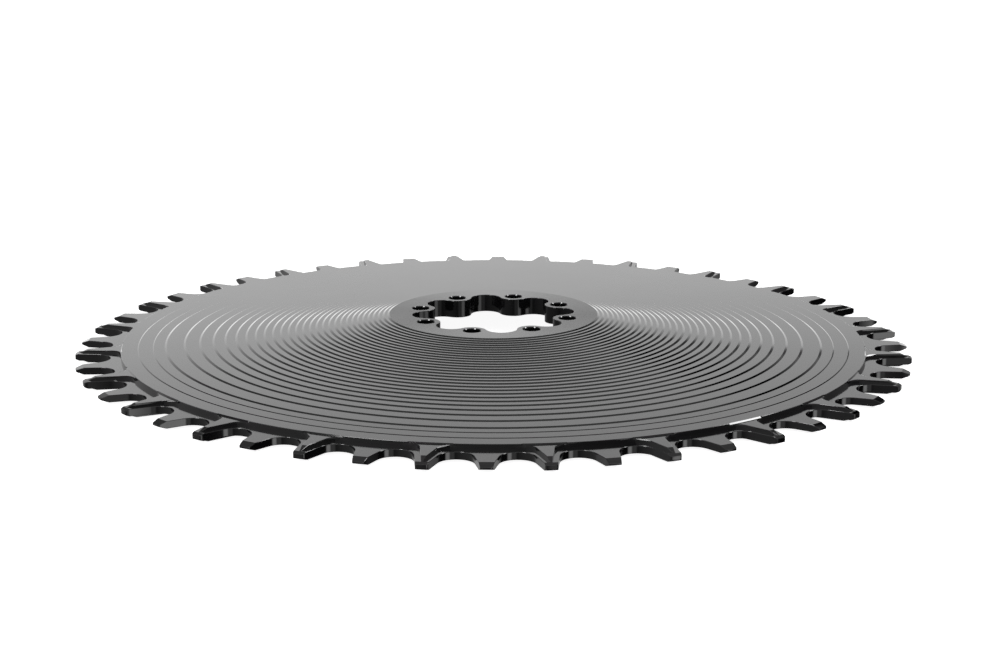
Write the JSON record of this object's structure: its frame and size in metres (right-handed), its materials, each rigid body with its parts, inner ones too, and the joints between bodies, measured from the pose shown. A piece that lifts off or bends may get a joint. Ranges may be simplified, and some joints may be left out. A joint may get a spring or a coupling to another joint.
{
  "type": "bicycle chainring",
  "caption": "Spokeless narrow-wide bicycle chainring: a black disc that rises to the hub in fine terraces, with a lobed central opening ringed by bolt holes.",
  "frame": {"origin": "on the ring's axis, in the plane of the underside of the rim and the wide teeth", "axes": "+Z along the ring's axis, from the underside towards the raised hub face; +X through a bolt hole and a narrow tooth"},
  "size_m": [0.2032, 0.2032, 0.0095],
  "materials": {
    "black_anodised": "black anodised, semi-gloss"
  },
  "bodies": {
    "root": {"chainring": "black_anodised"}
  },
  "joints": []
}
